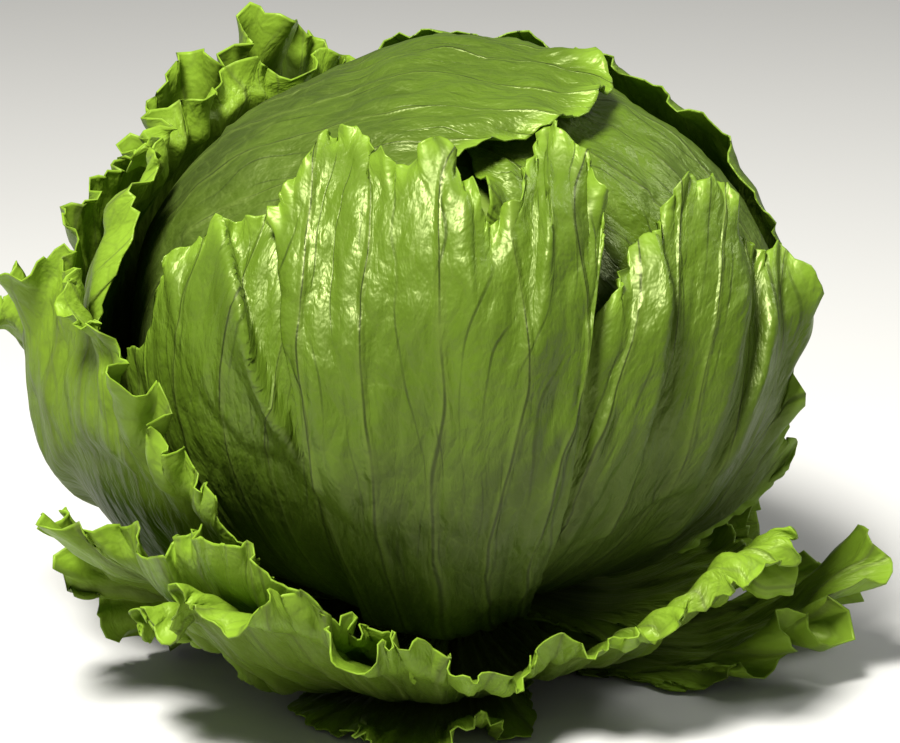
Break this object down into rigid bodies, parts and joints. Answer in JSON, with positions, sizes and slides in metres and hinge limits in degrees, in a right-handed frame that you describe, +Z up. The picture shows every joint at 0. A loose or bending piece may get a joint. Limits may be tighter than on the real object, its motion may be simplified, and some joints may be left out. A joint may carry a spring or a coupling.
{
  "type": "iceberg lettuce",
  "caption": "Whole head of iceberg lettuce with loose frilled wrapper leaves, resting on its cut stem.",
  "frame": {"origin": "centre of the cut face of the stem, on the surface that the head rests on", "axes": "+Z up along the head's own axis, away from the cut stem; -Y towards the side where the outermost head leaf shows whole"},
  "size_m": [0.2043, 0.195, 0.1452],
  "materials": {
    "stem": "moist cut face, slightly browned, pale green-white sides",
    "heart": "satin leaf",
    "head_leaf": "satin leaf with a fine net of veins",
    "wrapper_leaf": "satin leaf, darker, with a paler frilled margin"
  },
  "bodies": {
    "root": {"stem": "stem", "heart": "heart", "head_leaf_1": "head_leaf", "head_leaf_2": "head_leaf", "head_leaf_3": "head_leaf", "head_leaf_4": "head_leaf", "head_leaf_5": "head_leaf", "head_leaf_6": "head_leaf", "head_leaf_7": "head_leaf", "wrapper_leaf_1": "wrapper_leaf", "wrapper_leaf_2": "wrapper_leaf", "wrapper_leaf_3": "wrapper_leaf", "wrapper_leaf_4": "wrapper_leaf", "wrapper_leaf_5": "wrapper_leaf", "wrapper_leaf_6": "wrapper_leaf", "wrapper_leaf_7": "wrapper_leaf", "wrapper_leaf_8": "wrapper_leaf", "wrapper_leaf_9": "wrapper_leaf", "wrapper_leaf_10": "wrapper_leaf"}
  },
  "joints": []
}
